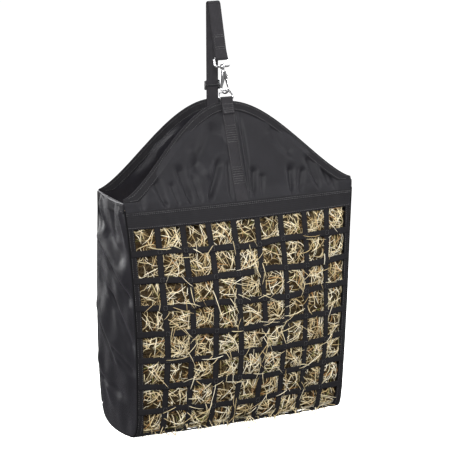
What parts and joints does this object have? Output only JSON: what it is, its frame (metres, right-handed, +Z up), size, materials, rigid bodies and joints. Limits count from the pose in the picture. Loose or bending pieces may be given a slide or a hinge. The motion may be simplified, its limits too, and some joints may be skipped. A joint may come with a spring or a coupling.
{
  "type": "hay net",
  "caption": "Hanging slow-feed hay bag with a webbing-grid front, fold-down yoke, snap and D-ring on an adjustable strap, filled with loose hay",
  "frame": {"origin": "the inside of the hanging loop's fold, where a stable hook carries the bag", "axes": "+Z up, -Y the bag's netted front, +X to the right as seen from the front"},
  "size_m": [0.4874, 0.1887, 0.8163],
  "materials": {
    "nylon": "dense black nylon weave with a soft sheen",
    "webbing": "ribbed black polypropylene webbing, matt",
    "chrome": "bright nickel plate on die-cast metal and wire",
    "plastic": "moulded black plastic",
    "hay": "dry, loose straw-gold stems"
  },
  "bodies": {
    "bag": {"back_panel": "nylon", "base_panel": "nylon", "yoke_foot": "nylon", "left_gusset": "nylon", "right_gusset": "nylon", "hay_fill": "hay", "left_gusset_hem": "webbing", "right_gusset_hem": "webbing", "left_back_seam": "webbing", "right_back_seam": "webbing", "net_top_band": "webbing", "net_bottom_band": "webbing", "net_left_band": "webbing", "net_right_band": "webbing", "net_upright_1": "webbing", "net_upright_2": "webbing", "net_upright_3": "webbing", "net_upright_4": "webbing", "net_upright_5": "webbing", "net_upright_6": "webbing", "net_upright_7": "webbing", "net_upright_8": "webbing", "net_cross_1": "webbing", "net_cross_2": "webbing", "net_cross_3": "webbing", "net_cross_4": "webbing", "net_cross_5": "webbing", "net_cross_6": "webbing", "net_cross_7": "webbing", "net_cross_8": "webbing", "centre_strap_foot": "webbing", "left_back_binding": "webbing", "right_back_binding": "webbing", "hanging_strap": "webbing"},
    "front_flap": {"front_yoke": "nylon", "yoke_binding": "webbing", "centre_strap": "webbing", "d_ring_tab": "webbing"},
    "ring": {"d_ring": "chrome"},
    "strap_drop": {"strap_front_leg": "webbing", "snap_eye": "chrome"},
    "snap": {"snap_hook": "chrome", "trigger_pin": "chrome", "trigger_spring": "chrome"},
    "trigger": {"snap_trigger": "chrome"},
    "adjuster": {"strap_adjuster": "plastic"}
  },
  "joints": [
    {"name": "yoke_fold", "type": "hinge", "parent": "bag", "child": "front_flap", "pos_m": [0, -0.12478, -0.3456], "axis": [1, 0, 0], "range_deg": [0, 170]},
    {"name": "ring_swing", "type": "hinge", "parent": "front_flap", "child": "ring", "pos_m": [0, -0.05987, -0.17771], "axis": [1, 0, 0], "range_deg": [-4, 4]},
    {"name": "strap_swing", "type": "hinge", "parent": "bag", "child": "strap_drop", "pos_m": [0, -0.00526, -0.00309], "axis": [-1, 0, 0], "range_deg": [0, 60]},
    {"name": "snap_swivel", "type": "hinge", "parent": "strap_drop", "child": "snap", "pos_m": [0, -0.05409, -0.16279], "axis": [0, 0.2924, 0.9563], "range_deg": [-48, 18]},
    {"name": "trigger_pull", "type": "hinge", "parent": "snap", "child": "trigger", "pos_m": [0.00127, -0.04666, -0.12847], "axis": [0.9178, 0.3798, -0.1161], "range_deg": [0, 9.5], "stiffness_Nm_per_rad": 0.2, "springref_deg": -20.05, "deforming": ["trigger_spring"]},
    {"name": "adjuster_slide", "type": "slide", "parent": "bag", "child": "adjuster", "axis": [0, 0.008, 1], "range_m": [-0.01, 0.1]}
  ]
}
